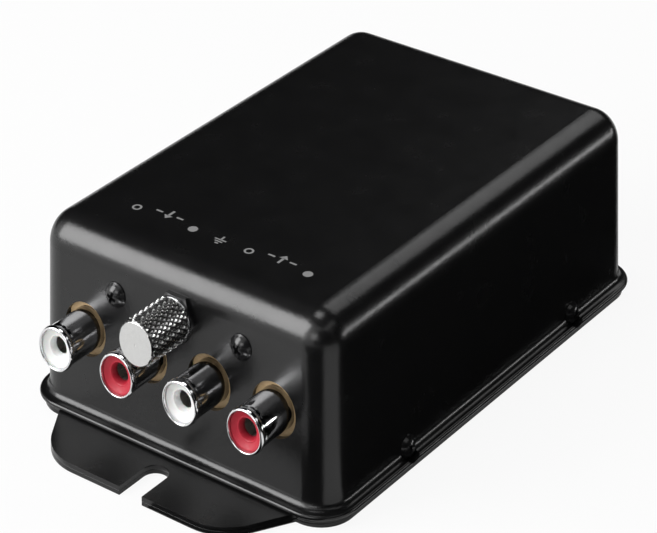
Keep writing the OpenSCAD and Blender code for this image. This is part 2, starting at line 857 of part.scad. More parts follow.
module inlet_housing() {
    slot_w = inlet_spring_w + 2 * hole_clear;
    slot_y = inlet_spring_y - inlet_blade_t / 2 - hole_clear;
    slot_len = inlet_spring_len + 2 * hole_clear;
    color(moulded_black) difference() {
        union() {
            translate([inlet_x - inlet_w / 2, inlet_front, board_top])
                cube([inlet_w, inlet_len, inlet_h]);
            face_front(inlet_x, back_y, inlet_axis_z)
                cylinder(r = inlet_collar_r, h = back_y - inlet_back);
        }
        face_front(inlet_x, back_y + cut, inlet_axis_z)
            cylinder(r = inlet_bore_r, h = inlet_bore_depth + cut);
        face_front(inlet_x, back_y, inlet_axis_z)
            cylinder(r = inlet_pin_r + seat, h = back_y - inlet_front + cut);
        translate([inlet_x - slot_w / 2, slot_y, board_top - cut])
            cube([slot_w, slot_len, inlet_leaf_top - board_top + cut]);
    }
}

module inlet_pin() {
    len = back_y - inlet_pin_gap - inlet_front;
    color(tin_c) {
        face_front(inlet_x, back_y - inlet_pin_gap, inlet_axis_z) cylinder(r = inlet_pin_r, h = len);
        translate([inlet_x - inlet_blade_w / 2, inlet_front - inlet_blade_t, board_z - lead_under])
            cube([inlet_blade_w, inlet_blade_t, inlet_axis_z + inlet_pin_r - board_z + lead_under]);
    }
}

module inlet_spring() {
    y = inlet_spring_y - inlet_blade_t / 2;
    x = inlet_x - inlet_spring_w / 2;
    color(tin_c) {
        translate([x, y, board_z - lead_under])
            cube([inlet_spring_w, inlet_blade_t, inlet_leaf_top - board_z + lead_under]);
        translate([x, y, inlet_leaf_top - inlet_blade_t])
            cube([inlet_spring_w, inlet_spring_len, inlet_blade_t]);
    }
}

// ---- wires

// Leaves a tail along +Y, turns down and ends on the board.
module drop_wire(x, y0, z0, y1, bend) {
    translate([x, y1 - bend, z0]) rotate([90, 0, 0]) cylinder(r = wire_r, h = y1 - bend - y0);
    translate([x, y1 - bend, z0 - bend]) rotate([90, 0, 90])
        rotate_extrude(angle = 90) translate([bend, 0]) circle(wire_r);
    translate([x, y1, board_top]) cylinder(r = wire_r, h = z0 - bend - board_top);
}

module signal_wires(pair, tint) {
    color(tint) for (i = [2 * pair, 2 * pair + 1])
        drop_wire(jack_x[i], tail_back, jack_z, tail_back + wire_landing, wire_bend);
}

module output_wires() {
    signal_wires(0, wire_yellow);
}

module input_wires() {
    signal_wires(1, wire_white);
}

module return_wires() {
    z = jack_z - ring_tab_drop + ring_tab_w / 2;
    y0 = board_back + ring_t;
    color(wire_black) for (x = jack_x)
        drop_wire(x, y0, z, board_y0 + return_landing, return_bend);
}

module chassis_wire() {
    z = post_z - lug_tail_drop + lug_tail_w / 2;
    color(wire_green) drop_wire(0, lock_front, z, lock_front + chassis_landing, wire_bend);
}

case();
base_plate();
foot_plate();
case_screws();
board_screws_front();
board_nuts_front();
socket_board(0);  // socket_board_out
socket_board(1);  // socket_board_in
shell(0);  // shell_out_left
shell(1);  // shell_out_right
shell(2);  // shell_in_left
shell(3);  // shell_in_right
insert(0, white_c);  // insert_out_left
insert(1, red_c);  // insert_out_right
insert(2, white_c);  // insert_in_left
insert(3, red_c);  // insert_in_right
contact(0);  // contact_out_left
contact(1);  // contact_out_right
contact(2);  // contact_in_left
contact(3);  // contact_in_right
ring(0);  // ring_out_left
ring(1);  // ring_out_right
ring(2);  // ring_in_left
ring(3);  // ring_in_right
ground_post();
ground_lug();
lock_washer();
post_nut();
terminal_washer();
thumb_nut();
circuit_board();
board_spacers();
board_screws();
input_chip();
output_chip();
film_capacitors();
coupling_capacitors();
supply_capacitors();
resistors();
voltage_regulator();
rectifier_diode();
inlet_housing();
inlet_pin();
inlet_spring();
output_wires();
input_wires();
return_wires();
chassis_wire();
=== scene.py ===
import json
import math

import bmesh
import bpy
from mathutils import Matrix, Vector


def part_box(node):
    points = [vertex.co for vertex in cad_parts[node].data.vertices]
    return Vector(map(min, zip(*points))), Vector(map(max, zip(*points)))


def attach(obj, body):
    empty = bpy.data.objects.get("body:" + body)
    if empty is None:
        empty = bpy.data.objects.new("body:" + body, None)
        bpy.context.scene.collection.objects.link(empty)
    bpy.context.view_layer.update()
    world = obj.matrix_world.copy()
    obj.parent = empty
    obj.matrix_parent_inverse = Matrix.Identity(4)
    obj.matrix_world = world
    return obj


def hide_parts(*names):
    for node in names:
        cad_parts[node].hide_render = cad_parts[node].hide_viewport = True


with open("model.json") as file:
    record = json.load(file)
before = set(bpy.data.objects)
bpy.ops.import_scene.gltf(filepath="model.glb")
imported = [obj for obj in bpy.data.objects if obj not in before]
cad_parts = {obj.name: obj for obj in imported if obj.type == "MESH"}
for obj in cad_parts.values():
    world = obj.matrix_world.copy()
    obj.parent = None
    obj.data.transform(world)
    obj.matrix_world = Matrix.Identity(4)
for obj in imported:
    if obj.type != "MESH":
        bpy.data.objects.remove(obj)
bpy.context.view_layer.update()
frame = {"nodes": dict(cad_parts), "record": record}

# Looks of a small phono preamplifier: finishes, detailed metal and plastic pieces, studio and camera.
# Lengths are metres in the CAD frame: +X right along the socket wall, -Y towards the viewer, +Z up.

MM = 0.001
WELD = 0.002 * MM
HOUSING = "housing"
NUT_BODY = "thumb_nut"
CASE_MIDDLE = Vector((0, 0, 0.02))
SOCKETS = ("out_left", "out_right", "in_left", "in_right")
RED_SOCKETS = ("out_right", "in_right")
# the thickness of the case's sheet, in metres, and the thread radius of its screws, in millimetres
SHEET = 1.0 * MM
SCREW_R = 1.5


# ---- camera and studio


def make_camera():
    """The photograph's view, from the front right, with a lens shifted so that upright edges stay upright.

    A parent's skewed matrix makes the shift: the picture's up stays +Z while the view leans down.
    The turn is in radians, the lean is the drop per metre ahead, and the lens is what a level view has.
    """
    place = Vector((365.168, -498.445, 339.507)) * MM
    turn = 0.637
    lean = 0.52541
    level_lens = 170.27
    across = Vector((math.cos(turn), math.sin(turn), 0))
    ahead = Vector((-math.sin(turn), math.cos(turn), -lean))
    data = bpy.data.cameras.new("camera")
    data.sensor_width = 36.0
    data.lens = level_lens * ahead.length
    data.clip_start = 0.01
    camera = bpy.data.objects.new("camera", data)
    stand = bpy.data.objects.new("camera_stand", None)
    for made in (camera, stand):
        bpy.context.scene.collection.objects.link(made)
    skewed = Matrix.Identity(4)
    for column, axis in enumerate((across, Vector((0, 0, 1)), -ahead.normalized(), place)):
        for row in range(3):
            skewed[row][column] = axis[row]
    camera.parent = stand
    camera.matrix_parent_inverse = skewed
    bpy.context.scene.camera = camera


def softbox(name, place, width, height, power):
    """A rectangular soft light that faces the middle of the case."""
    data = bpy.data.lights.new(name, "AREA")
    data.shape = "RECTANGLE"
    data.size, data.size_y = width, height
    data.energy = power
    light = bpy.data.objects.new(name, data)
    bpy.context.scene.collection.objects.link(light)
    light.location = place
    light.rotation_mode = "QUATERNION"
    light.rotation_quaternion = (CASE_MIDDLE - Vector(place)).to_track_quat("-Z", "Y")


def flat_card(name, corners):
    """A flat sheet that belongs to the studio."""
    mesh = bpy.data.meshes.new(name)
    mesh.from_pydata(corners, [], [tuple(range(len(corners)))])
    card = bpy.data.objects.new(name, mesh)
    bpy.context.scene.collection.objects.link(card)
    return card


def black_card(name, corners):
    """A black flag of a product studio: glossy surfaces reflect it, and no camera sees it."""
    card = flat_card(name, corners)
    card.visible_camera = False
    card.visible_diffuse = False
    card.visible_transmission = False
    card.visible_volume_scatter = False
    card.visible_shadow = False
    material = new_material("studio_black")
    flock = material.node_tree.nodes["Principled BSDF"]
    flock.inputs["Base Color"].default_value = (0, 0, 0, 1)
    flock.inputs["Specular IOR Level"].default_value = 0.0
    card.data.materials.append(material)


def upright_card(name, start, end, height):
    """A black card that stands on the floor between two (x, y) points."""
    black_card(name, [(*start, 0.0), (*end, 0.0), (*end, height), (*start, height)])


def level_card(name, outline, height):
    """A black card that lies level over an outline of (x, y) points."""
    black_card(name, [(x, y, height) for x, y in outline])


def seen_share(tree, camera, mirror):
    """A node value: `camera` for camera and transmission rays, `mirror` for glossy rays, else 0."""
    path = tree.nodes.new("ShaderNodeLightPath")
    shares = {"Is Camera Ray": camera, "Is Transmission Ray": camera, "Is Glossy Ray": mirror}
    value = None
    for ray, share in shares.items():
        scaled = tree.nodes.new("ShaderNodeMath")
        scaled.operation = "MULTIPLY"
        scaled.inputs[1].default_value = share
        tree.links.new(path.outputs[ray], scaled.inputs[0])
        if value is not None:
            highest = tree.nodes.new("ShaderNodeMath")
            highest.operation = "MAXIMUM"
            tree.links.new(value, highest.inputs[0])
            tree.links.new(scaled.outputs[0], highest.inputs[1])
            scaled = highest
        value = scaled.outputs[0]
    return value


def make_world():
    """A soft grey room that looks white behind the object."""
    world = bpy.data.worlds.new("studio")
    bpy.context.scene.world = world
    world.use_nodes = True
    tree = world.node_tree
    tree.nodes.clear()
    out = tree.nodes.new("ShaderNodeOutputWorld")
    room = tree.nodes.new("ShaderNodeBackground")
    room.inputs["Strength"].default_value = 0.13
    white = tree.nodes.new("ShaderNodeBackground")
    white.inputs["Color"].default_value = (1, 1, 1, 1)
    white.inputs["Strength"].default_value = 1.0
    mix = tree.nodes.new("ShaderNodeMixShader")
    tree.links.new(seen_share(tree, 1.0, 1.0), mix.inputs["Fac"])
    tree.links.new(room.outputs[0], mix.inputs[1])
    tree.links.new(white.outputs[0], mix.inputs[2])
    tree.links.new(mix.outputs[0], out.inputs["Surface"])


def floor_material():
    """White paper: it takes the object's shadow, and is nearly white where it is seen."""
    material = new_material("floor_paper")
    tree = material.node_tree
    paper = tree.nodes["Principled BSDF"]
    paper.inputs["Base Color"].default_value = (0.86, 0.86, 0.86, 1)
    paper.inputs["Roughness"].default_value = 0.9
    paper.inputs["Specular IOR Level"].default_value = 0.0
    glow = tree.nodes.new("ShaderNodeEmission")
    glow.inputs["Strength"].default_value = 1.0
    mix = tree.nodes.new("ShaderNodeMixShader")
    tree.links.new(seen_share(tree, 0.92, 0.4), mix.inputs["Fac"])
    tree.links.new(paper.outputs[0], mix.inputs[1])
    tree.links.new(glow.outputs[0], mix.inputs[2])
    tree.links.new(mix.outputs[0], tree.nodes["Material Output"].inputs["Surface"])
    return material


def towards(azimuth, elevation, distance):
    """The place `distance` metres from the case's middle; azimuth 0 is +X and 90 is +Y, in degrees."""
    across = math.radians(azimuth)
    up = math.radians(elevation)
    flat = distance * math.cos(up)
    offset = Vector((flat * math.cos(across), flat * math.sin(across), distance * math.sin(up)))
    return offset + CASE_MIDDLE


def make_floor():
    """A wide sheet of white paper just under the object."""
    reach = 6.0
    under = -0.05 * MM
    corners = [(-reach, -reach), (reach, -reach), (reach, reach), (-reach, reach)]
    floor = flat_card("floor", [(x, y, under) for x, y in corners])
    floor.data.materials.append(floor_material())


def make_lamps():
    """The key light from the front left, a weak fill, and lights that draw the top, back and right edges."""
    softbox("key_left", towards(-129, 30, 0.9), width=0.52, height=0.68, power=9.0)
    softbox("fill_front", towards(-80, 25, 1.0), width=0.40, height=0.25, power=1.1)
    softbox("top", (-0.10, 0.0, 0.75), width=0.25, height=0.25, power=1.0)
    softbox("panel_back", towards(96, 42, 0.9), width=0.53, height=0.34, power=0.9)
    softbox("strip_right", towards(45, 7, 0.85), width=0.60, height=0.045, power=1.1)


def make_room_cards():
    """Tall black cards around the object and one overhead, mirrored by its glossy coat."""
    upright_card("card_back", (-2.2, 0.95), (1.6, 0.95), 2.2)
    upright_card("card_left", (-0.9, -0.10), (-0.9, 1.2), 1.3)
    upright_card("card_right", (0.9, -0.15), (0.9, 1.2), 1.0)
    upright_card("card_front", (0.25, -1.5), (1.5, -0.25), 1.3)
    level_card("card_roof", [(-1.4, -0.52), (0.5, -0.52), (0.5, 0.6), (-1.4, 0.6)], 0.82)


def make_floor_cards():
    """Black cards on the floor, so that the case's walls don't mirror the white paper."""
    over = 0.2 * MM
    wall_x = 0.037
    far = 0.9
    level_card("card_floor_right", [(wall_x, -0.045), (far, 0.05), (far, 1.0), (wall_x, 1.0)], over)
    corner_x = 0.0352
    corner_y = -0.0534
    wedge_reach = 0.5
    wedge = [(corner_x, corner_y)]
    for azimuth in (-112, -45):
        a = math.radians(azimuth)
        wedge.append((corner_x + wedge_reach * math.cos(a), corner_y + wedge_reach * math.sin(a)))
    level_card("card_floor_front", wedge, over)
    # painted shade: a black strip, seen only in reflections, that stands for the shaded floor next to the
    # case's front
    left_x = 0.004
    near_y = corner_y - 0.022
    strip = [(left_x, corner_y), (corner_x, corner_y), (corner_x, near_y), (left_x, near_y)]
    level_card("card_floor_near_shade", strip, over)


def make_studio():
    """Room, floor, lamps and the black cards that keep the black case dark."""
    make_world()
    make_floor()
    make_lamps()
    make_room_cards()
    make_floor_cards()


# ---- materials


def new_material(name):
    """A material with Blender's starting nodes."""
    material = bpy.data.materials.new(name)
    material.use_nodes = True
    return material


class Finish:
    """Builds one material's node tree on object coordinates."""

    def __init__(self, name, colour, roughness, metallic=0.0, specular=0.5):
        self.material = new_material(name)
        self.tree = self.material.node_tree
        self.shader = self.tree.nodes["Principled BSDF"]
        self.colour = colour
        self.shader.inputs["Base Color"].default_value = (*colour, 1)
        self.shader.inputs["Roughness"].default_value = roughness
        self.shader.inputs["Metallic"].default_value = metallic
        self.shader.inputs["Specular IOR Level"].default_value = specular
        self.place = self.tree.nodes.new("ShaderNodeTexCoord").outputs["Object"]
        self.normal = None

    def node(self, kind, **values):
        """A new node with its settings."""
        made = self.tree.nodes.new(kind)
        for key, value in values.items():
            setattr(made, key, value)
        return made

    def link(self, source, target):
        self.tree.links.new(source, target)

    def noise(self, size, detail=2.0, stretch=(1, 1, 1), roughness=0.5):
        """Noise whose grain is about `size` metres across; stretch lengthens it along an axis."""
        mapping = self.node("ShaderNodeMapping")
        mapping.inputs["Scale"].default_value = [1 / (size * s) for s in stretch]
        self.link(self.place, mapping.inputs["Vector"])
        noise = self.node("ShaderNodeTexNoise")
        noise.inputs["Scale"].default_value = 1.0
        noise.inputs["Detail"].default_value = detail
        noise.inputs["Roughness"].default_value = roughness
        self.link(mapping.outputs[0], noise.inputs["Vector"])
        return noise.outputs["Fac"]

    def spread(self, value, low, high, start=0.3, end=0.7):
        """Maps a noise value onto the range low to high."""
        span = self.node("ShaderNodeMapRange")
        span.inputs["From Min"].default_value = start
        span.inputs["From Max"].default_value = end
        span.inputs["To Min"].default_value = low
        span.inputs["To Max"].default_value = high
        self.link(value, span.inputs["Value"])
        return span.outputs[0]

    def bump(self, height, depth, strength):
        """Adds relief that is `depth` metres high."""
        bump = self.node("ShaderNodeBump")
        bump.inputs["Distance"].default_value = depth
        bump.inputs["Strength"].default_value = strength
        self.link(height, bump.inputs["Height"])
        if self.normal is not None:
            self.link(self.normal, bump.inputs["Normal"])
        self.normal = bump.outputs[0]
        self.link(self.normal, self.shader.inputs["Normal"])

    def tint(self, factor, other):
        """Mixes the base colour towards another by factor."""
        mix = self.node("ShaderNodeMix", data_type="RGBA")
        source = self.shader.inputs["Base Color"]
        if source.is_linked:
            self.link(source.links[0].from_socket, mix.inputs["A"])
        else:
            mix.inputs["A"].default_value = (*self.colour, 1)
        mix.inputs["B"].default_value = (*other, 1)
        self.link(factor, mix.inputs["Factor"])
        self.link(mix.outputs["Result"], source)

    def depth(self, start, end, most):
        """A factor that rises from 0 at `start` to `most` at `end`, two distances along the -Y axis."""
        axes = self.node("ShaderNodeSeparateXYZ")
        self.link(self.place, axes.inputs[0])
        return self.spread(axes.outputs["Y"], 0.0, most, -start, -end)

    def vary_roughness(self, value, low, high):
        """Drives the roughness from low to high by a noise value."""
        self.link(self.spread(value, low, high), self.shader.inputs["Roughness"])


def powder_coat():
    """Satin black powder coat: fine orange peel, faint cloudiness and a little dust."""
    coat = Finish("powder_coat", (0.0055, 0.0055, 0.0057), 0.25, specular=0.46)
    coat.tint(coat.spread(coat.noise(9 * MM, 3.0), 0.0, 0.25), (0.009, 0.009, 0.0092))
    coat.tint(coat.spread(coat.noise(0.12 * MM, 1.0), 0.0, 0.6, 0.74, 0.82), (0.04, 0.04, 0.04))
    coat.vary_roughness(coat.noise(6 * MM, 4.0), 0.23, 0.28)
    coat.bump(coat.noise(0.75 * MM, 1.0), 0.05 * MM, 0.35)
    coat.bump(coat.noise(0.22 * MM, 2.0), 0.012 * MM, 0.35)
    return coat.material


def black_steel():
    """Blackened screw steel with fine wear."""
    steel = Finish("black_steel", (0.010, 0.010, 0.0105), 0.2, metallic=0.1)
    steel.tint(steel.spread(steel.noise(0.5 * MM, 4.0), 0.0, 0.4, 0.55, 0.85), (0.05, 0.049, 0.047))
    steel.vary_roughness(steel.noise(0.4 * MM, 3.0), 0.15, 0.27)
    steel.bump(steel.noise(0.15 * MM, 3.0), 0.006 * MM, 0.4)
    return steel.material


def tinned_steel():
    """Dull tin plate with drawn scratches."""
    tin = Finish("tinned_steel", (0.62, 0.61, 0.58), 0.32, metallic=1.0)
    tin.tint(tin.spread(tin.noise(1.5 * MM, 4.0), 0.0, 0.5), (0.45, 0.44, 0.42))
    tin.vary_roughness(tin.noise(0.3 * MM, 4.0, (1, 8, 1)), 0.24, 0.42)
    tin.bump(tin.noise(0.08 * MM, 3.0, (1, 10, 1)), 0.004 * MM, 0.4)
    return tin.material


def chrome(foot=None):
    """Bright plate with faint polishing lines and a few specks.

    A `foot` is the length over which a barrel is painted dark towards the wall: painted shade near its base,
    which also dims its reflection of the board.
    """
    plate = Finish("chrome", (0.80, 0.80, 0.81), 0.1, metallic=1.0)
    plate.tint(plate.spread(plate.noise(1.2 * MM, 4.0), 0.0, 0.35), (0.66, 0.66, 0.67))
    plate.vary_roughness(plate.noise(0.8 * MM, 4.0), 0.07, 0.16)
    plate.bump(plate.noise(0.12 * MM, 3.0, (1, 6, 1)), 0.002 * MM, 0.35)
    if foot:
        # painted shade: the barrel darkens over its foot, next to the wall
        plate.tint(plate.depth(foot, 0.4 * foot, 0.75), (0.08, 0.08, 0.08))
    return plate.material


def nickel(tips):
    """Turned nickel with painted shade in the grooves of a knurl whose tips are at radius `tips`."""
    plate = Finish("nickel", (0.70, 0.70, 0.69), 0.2, metallic=1.0)
    plate.tint(plate.spread(plate.noise(0.8 * MM, 4.0), 0.0, 0.3), (0.58, 0.58, 0.57))
    # painted shade: the knurl's grooves, between these radii, are tinted nearly black
    flat = plate.node("ShaderNodeVectorMath", operation="MULTIPLY")
    flat.inputs[1].default_value = (1, 0, 1)
    plate.link(plate.place, flat.inputs[0])
    radius = plate.node("ShaderNodeVectorMath", operation="LENGTH")
    plate.link(flat.outputs[0], radius.inputs[0])
    inside = plate.spread(radius.outputs["Value"], 0.0, 1.0, tips - 0.45 * MM, tips - 0.38 * MM)
    groove = plate.spread(radius.outputs["Value"], 0.9, 0.0, tips - 0.28 * MM, tips - 0.03 * MM)
    both = plate.node("ShaderNodeMath", operation="MULTIPLY")
    plate.link(inside, both.inputs[0])
    plate.link(groove, both.inputs[1])
    plate.tint(both.outputs[0], (0.05, 0.05, 0.05))
    plate.vary_roughness(plate.noise(0.5 * MM, 4.0), 0.16, 0.26)
    return plate.material


def moulded(name, colour, roughness=0.35, shade=0.7, subsurface=0.0, throat=None):
    """Moulded plastic: faint flow marks, fine grain and small changes of shade.

    A `throat` is the pair of distances between which an insert is painted dark inside: painted shade deep in
    its mouth.
    """
    plastic = Finish(name, colour, roughness)
    darker = tuple(c * shade for c in colour)
    plastic.tint(plastic.spread(plastic.noise(2.5 * MM, 3.0), 0.0, 0.3), darker)
    if throat:
        # painted shade: the insert darkens between the two throat distances
        plastic.tint(plastic.depth(*throat, 0.75), tuple(0.12 * c for c in colour))
    plastic.vary_roughness(plastic.noise(0.6 * MM, 3.0), roughness - 0.06, roughness + 0.08)
    plastic.bump(plastic.noise(0.2 * MM, 2.0), 0.004 * MM, 0.3)
    if subsurface:
        plastic.shader.inputs["Subsurface Weight"].default_value = subsurface
        plastic.shader.inputs["Subsurface Scale"].default_value = 0.6 * MM
    return plastic.material


def paper_phenolic():
    """Tan paper laminate with fibres and darker specks."""
    board = Finish("paper_phenolic", (0.64, 0.46, 0.25), 0.5)
    board.tint(board.spread(board.noise(0.3 * MM, 4.0, (5, 1, 1)), 0.0, 0.5), (0.45, 0.28, 0.12))
    board.tint(board.spread(board.noise(0.5 * MM, 5.0), 0.0, 0.6, 0.6, 0.8), (0.62, 0.46, 0.25))
    board.vary_roughness(board.noise(0.4 * MM, 3.0), 0.42, 0.6)
    board.bump(board.noise(0.2 * MM, 3.0, (4, 1, 1)), 0.01 * MM, 0.4)
    return board.material


def circuit_green():
    """Green solder mask with paler runs of copper beneath it."""
    mask = Finish("circuit_green", (0.02, 0.13, 0.055), 0.3)
    runs = mask.node("ShaderNodeTexBrick")
    runs.inputs["Scale"].default_value = 120.0
    runs.inputs["Color1"].default_value = (0, 0, 0, 1)
    runs.inputs["Color2"].default_value = (0.2, 0.2, 0.2, 1)
    runs.inputs["Mortar"].default_value = (1, 1, 1, 1)
    runs.inputs["Mortar Size"].default_value = 0.06
    mask.link(mask.place, runs.inputs["Vector"])
    mask.tint(runs.outputs["Color"], (0.04, 0.2, 0.09))
    mask.bump(runs.outputs["Color"], 0.03 * MM, 0.5)
    mask.bump(mask.noise(0.2 * MM, 2.0), 0.004 * MM, 0.3)
    return mask.material


def print_ink():
    """Pale grey pad print with slightly uneven cover."""
    ink = Finish("print_ink", (0.27, 0.27, 0.27), 0.55)
    ink.tint(ink.spread(ink.noise(0.15 * MM, 3.0), 0.0, 0.5, 0.45, 0.75), (0.17, 0.17, 0.17))
    ink.bump(ink.noise(0.1 * MM, 2.0), 0.004 * MM, 0.3)
    return ink.material


MATERIALS = {
    "case_black": powder_coat(),
    "screw_black": black_steel(),
    "tinned_steel": tinned_steel(),
    "paper_board": paper_phenolic(),
    "chrome": chrome(),
    "insert_white": moulded("insert_white", (0.80, 0.80, 0.79), 0.42, shade=0.95, subsurface=0.15),
    # the red insert has painted shade deep in its throat
    "insert_red": moulded("insert_red", (0.44, 0.009, 0.028), 0.5, shade=0.75, throat=(8.6 * MM, 7.5 * MM)),
    "board_green": circuit_green(),
    "chip_black": moulded("chip_black", (0.025, 0.025, 0.027), 0.5),
    "film_red": moulded("film_red", (0.45, 0.03, 0.025), 0.25),
    "can_blue": moulded("can_blue", (0.03, 0.05, 0.16), 0.3),
    "can_black": moulded("can_black", (0.02, 0.02, 0.025), 0.3),
    "resistor_blue": moulded("resistor_blue", (0.18, 0.38, 0.55), 0.35),
    "wire_yellow": moulded("wire_yellow", (0.7, 0.6, 0.06), 0.45),
    "wire_white": moulded("wire_white", (0.8, 0.8, 0.78), 0.45),
    "wire_black": moulded("wire_black", (0.02, 0.02, 0.02), 0.45),
    "wire_green": moulded("wire_green", (0.04, 0.25, 0.07), 0.45),
}
INK = print_ink()
# the barrels' chrome, with painted shade over the foot next to the wall
BARREL_CHROME_SHADED_FOOT = chrome(foot=1.8 * MM)


# ---- shapes


def object_from(name, vertices, faces):
    """A mesh object with its double points welded and its normals outward."""
    mesh = bpy.data.meshes.new(name)
    mesh.from_pydata(vertices, [], faces)
    shape = bmesh.new()
    shape.from_mesh(mesh)
    bmesh.ops.remove_doubles(shape, verts=shape.verts, dist=WELD)
    bmesh.ops.recalc_face_normals(shape, faces=shape.faces)
    shape.to_mesh(mesh)
    shape.free()
    made = bpy.data.objects.new(name, mesh)
    bpy.context.scene.collection.objects.link(made)
    return made


def make_piece(name, shape, centre, slot, body, sharp=35.0, material=None):
    """A visible piece at `centre`, in its slot's finish unless another is given.

    Edges sharper than `sharp` degrees stay crisp.
    """
    piece = object_from(name, *shape)
    piece.data.shade_smooth()
    piece.data.set_sharp_from_angle(angle=math.radians(sharp))
    piece.location = centre
    piece.data.materials.append(material or MATERIALS[slot])
    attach(piece, body)
    return piece


def turned(profile, closed=False, turns=96, start=0.0, sweep=360.0):
    """Vertices and faces of a profile of (out, radius) points in millimetres, turned round the -Y axis.

    It starts at `start` and goes on for `sweep`, both in degrees; a full turn has `turns` steps.
    """
    whole = sweep >= 360.0
    columns = turns if whole else max(2, round(turns * sweep / 360.0)) + 1
    step = math.radians(sweep) / (turns if whole else columns - 1)
    vertices, faces = [], []
    for i in range(columns):
        a = math.radians(start) + i * step
        vertices += [(r * math.cos(a) * MM, -out * MM, r * math.sin(a) * MM) for out, r in profile]
    rows = len(profile)
    for i in range(columns if whole else columns - 1):
        j = (i + 1) % columns
        for k in range(rows if closed else rows - 1):
            m = (k + 1) % rows
            faces.append((i * rows + k, i * rows + m, j * rows + m, j * rows + k))
    if not whole and closed:
        faces.append(tuple(range(rows)))
        faces.append(tuple(range((columns - 1) * rows, columns * rows)))
    return vertices, faces


def wrapped(columns):
    """Vertices and faces of the surface through columns of points that stand side by side all round."""
    rows = len(columns[0])
    vertices = [point for column in columns for point in column]
    faces = []
    for i in range(len(columns)):
        j = (i + 1) % len(columns)
        for k in range(rows - 1):
            faces.append((i * rows + k, i * rows + k + 1, j * rows + k + 1, j * rows + k))
    return vertices, faces


def joined(*shapes):
    """Several (vertices, faces) pairs as one."""
    vertices, faces = [], []
    for more_vertices, more_faces in shapes:
        base = len(vertices)
        vertices += more_vertices
        faces += [tuple(base + i for i in face) for face in more_faces]
    return vertices, faces


def corners_of(node):
    """The low and the high corner of a CAD node's box."""
    return (Vector(corner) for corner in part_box(node))


def middle_on(low, high, y):
    """The middle of a box in X and Z, at the given Y."""
    return ((low.x + high.x) / 2, y, (low.z + high.z) / 2)


def board_front():
    """Y of the socket boards' front faces, which lie against the inside of the front wall."""
    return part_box("socket_board_in")[0][1]


# ---- thumb nut and ground terminal


def diamond_field(point, columns, rows, outer, groove):
    """Pyramids with small flat tops on every second point of a grid, down to the grooves between them."""
    flat = 0.2
    around = [(1, 0), (0, 1), (-1, 0), (0, -1)]
    vertices, faces = [], []

    def add(*points):
        base = len(vertices)
        vertices.extend(points)
        faces.append(tuple(range(base, base + len(points))))

    for q in range(rows + 1):
        for p in range(q % 2, columns, 2):
            tops = [(p + flat * dp, min(max(q + flat * dq, 0), rows)) for dp, dq in around]
            add(*(point(*top, outer) for top in tops))
            for i, (dp, dq) in enumerate(around):
                ep, eq = around[(i + 1) % 4]
                if 0 <= q + dq <= rows and 0 <= q + eq <= rows:
                    add(point(*tops[i], outer), point(*tops[(i + 1) % 4], outer),
                        point(p + ep, q + eq, outer - groove), point(p + dp, q + dq, outer - groove))
    return vertices, faces


def nut_disc(length, face_r, turns):
    """The nut's flat front with a small dimple in its middle."""
    dimple_r = 0.3
    dimple_depth = 0.12
    return turned([(length, face_r), (length, dimple_r), (length - dimple_depth, 0.0)], turns=turns)


def nut_neck(neck_len, neck_r, turns):
    """The nut's smooth neck and its blind bore."""
    edge = 0.12
    lead_in = 0.25
    bore_end = 8.4
    bore_r = 2.05
    return turned([(neck_len, neck_r), (edge, neck_r), (0.0, neck_r - edge), (0.0, bore_r + lead_in),
                   (lead_in, bore_r), (bore_end, bore_r), (bore_end, 0.0)], turns=turns)


def knurled_nut():
    """The thumb nut: a diamond knurl between a smooth neck and a chamfered front disc.

    The knurl's grid counts half diamonds: p round the nut and q along it.
    """
    low, high = corners_of("thumb_nut")
    length = (high.y - low.y) / MM
    outer = (high.z - low.z) / 2 / MM
    neck_len = 0.7
    neck_r = 3.8
    groove = 0.30
    chamfer = 0.5
    diamonds = 28
    columns = 2 * diamonds
    diamond_len = 1.7
    field = length - neck_len - chamfer
    rows = 2 * round(field / diamond_len)
    pitch = field / rows

    def point(p, q, r):
        a = 2 * math.pi * p / columns
        return (r * math.cos(a) * MM, -(neck_len + q * pitch) * MM, r * math.sin(a) * MM)

    face_r = outer - chamfer
    front, back = [], []
    for p in range(columns):
        start_r = outer if p % 2 == 0 else outer - groove
        end_r = outer if (p + rows) % 2 == 0 else outer - groove
        halfway = point(p, rows + chamfer * 0.55 / pitch, min(end_r, outer - 0.2))
        front.append((point(p, rows, end_r), halfway, point(p, rows + chamfer / pitch, face_r)))
        back.append((point(p, 0, start_r), point(p, 0, neck_r)))
    shape = joined(diamond_field(point, columns, rows, outer, groove), wrapped(front), wrapped(back),
                   nut_disc(length, face_r, columns), nut_neck(neck_len, neck_r, columns))
    nut = make_piece("thumb_nut_knurled", shape, middle_on(low, high, high.y), "chrome", NUT_BODY,
                     sharp=12.0, material=nickel(outer * MM))
    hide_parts("thumb_nut")


def hexagon(thick, flat_to_flat):
    """A hexagonal flange from out = 0 to out = thick, with its front corners turned off.

    Each of its sides has `fine` steps.
    """
    corner = flat_to_flat / math.sqrt(3)
    turned_off = corner * 0.88
    fine = 12
    columns = []
    for i in range(6 * fine):
        a = 2 * math.pi * i / (6 * fine)
        inside = math.radians(60 / fine * (i % fine) - 30)
        edge = flat_to_flat / 2 / math.cos(inside)
        slope = max(0.0, edge - flat_to_flat / 2 * 1.01) * math.tan(math.radians(30))
        front_r = min(edge, turned_off)
        profile = [(0.0, 0.0), (0.0, edge), (thick - slope, edge), (thick, front_r), (thick, 0.0)]
        across, up = math.sin(a - math.pi / 6), math.cos(a - math.pi / 6)
        columns.append([(r * across * MM, -out * MM, r * up * MM) for out, r in profile])
    return wrapped(columns)


